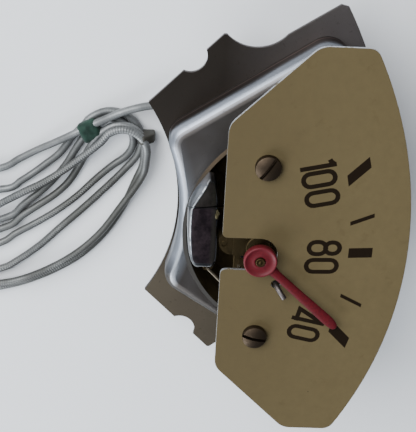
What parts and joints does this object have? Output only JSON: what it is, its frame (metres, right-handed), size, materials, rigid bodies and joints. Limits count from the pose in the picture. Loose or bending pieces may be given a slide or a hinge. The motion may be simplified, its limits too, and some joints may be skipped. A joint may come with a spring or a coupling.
{
  "type": "capillary temperature gauge quadrant",
  "caption": "One quadrant of a round dashboard instrument: cream dial, red pointer, Bourdon movement in a plated bracket, with capillary and bulb",
  "frame": {"origin": "on the pointer's axis, in the plane of the rear cup's back face that the gauge rests on", "axes": "+X right across the dial (toward the low end of the scale), +Y up the dial toward its arc, +Z out of the dial toward the viewer"},
  "size_m": [0.0678, 0.1403, 0.0301],
  "materials": {
    "plated_steel": "bright plated pressed steel, dulled and faintly brown",
    "cup_brass": "dark tarnished drawn brass",
    "movement_brass": "aged clock brass",
    "steel_fasteners": "dull turned steel",
    "pivot_steel": "polished steel",
    "blued_spring": "blued spring steel",
    "tube_alloy": "grey glossy plated alloy",
    "dial_paint": "cream enamel, satin, faintly stained",
    "dial_screw_metal": "brown tarnished brass",
    "pointer_paint": "red satin paint",
    "capillary_armour": "grey wire armour over the capillary",
    "green_tape": "green binding tape",
    "dark_clip": "dark strap",
    "bulb_metal": "tarnished brass",
    "nut_metal": "dull plated steel"
  },
  "bodies": {
    "gauge": {"bracket": "plated_steel", "rear_cup": "cup_brass", "movement_plate": "movement_brass", "plate_screws": "steel_fasteners", "lower_bush": "movement_brass", "bridge": "movement_brass", "bridge_pillars": "movement_brass", "bridge_screw": "steel_fasteners", "upper_bush": "movement_brass", "hairspring": "blued_spring", "hairspring_stud": "movement_brass", "sector_stud": "pivot_steel", "sector_washer": "steel_fasteners", "root_stem": "movement_brass", "socket_block": "movement_brass", "socket_rivets": "movement_brass", "inlet_ferrule": "steel_fasteners", "dial_plate": "dial_paint", "dial_posts": "movement_brass", "dial_screws": "dial_screw_metal", "stop_pin": "steel_fasteners", "capillary_lead": "capillary_armour", "capillary_hank": "capillary_armour", "tape_band": "green_tape", "hank_clip": "dark_clip", "capillary_tail": "capillary_armour", "sensing_bulb": "bulb_metal", "bulb_cone": "bulb_metal"},
    "pointer_shaft": {"arbor": "pivot_steel", "pinion": "movement_brass", "hairspring_collet": "movement_brass", "pointer": "pointer_paint", "pointer_bush": "dial_screw_metal"},
    "sector_body": {"sector": "movement_brass"},
    "link_body": {"link": "pivot_steel"},
    "tube_body": {"bourdon_tube": "tube_alloy", "tube_cap": "tube_alloy", "tip_tongue": "movement_brass"},
    "nut_body": {"union_nut": "nut_metal"}
  },
  "joints": [
    {"name": "pointer_axis", "type": "hinge", "parent": "gauge", "child": "pointer_shaft", "pos_m": [0, 0, 0.0276], "axis": [0, 0, 1], "range_deg": [-4.5, 93], "stiffness_Nm_per_rad": 0.00002, "springref_deg": -5.73},
    {"name": "sector_axis", "type": "hinge", "parent": "gauge", "child": "sector_body", "pos_m": [0.00897, -0.00078, 0.0182], "axis": [0, 0, 1], "range_deg": [-18.8, 1.4]},
    {"name": "link_pivot", "type": "hinge", "parent": "sector_body", "child": "link_body", "pos_m": [0.01225, -0.0022, 0.0182], "axis": [0, 0, 1], "range_deg": [-1.4, 24.7]},
    {"name": "tube_flex", "type": "hinge", "parent": "gauge", "child": "tube_body", "pos_m": [-0.0062, -0.0076, 0.0175], "axis": [0, 0, 1], "range_deg": [-6.8, 0.5], "stiffness_Nm_per_rad": 0.0001},
    {"name": "nut_swivel", "type": "hinge", "parent": "gauge", "child": "nut_body", "pos_m": [-0.024, -0.073, 0.0085], "axis": [0, 1, 0], "continuous": true}
  ],
  "couplings": [
    {"joint": "sector_axis", "follows": "pointer_axis", "ratio": -0.2},
    {"joint": "link_pivot", "follows": "pointer_axis", "ratio": 0.2642},
    {"joint": "tube_flex", "follows": "pointer_axis", "ratio": -0.0721}
  ]
}
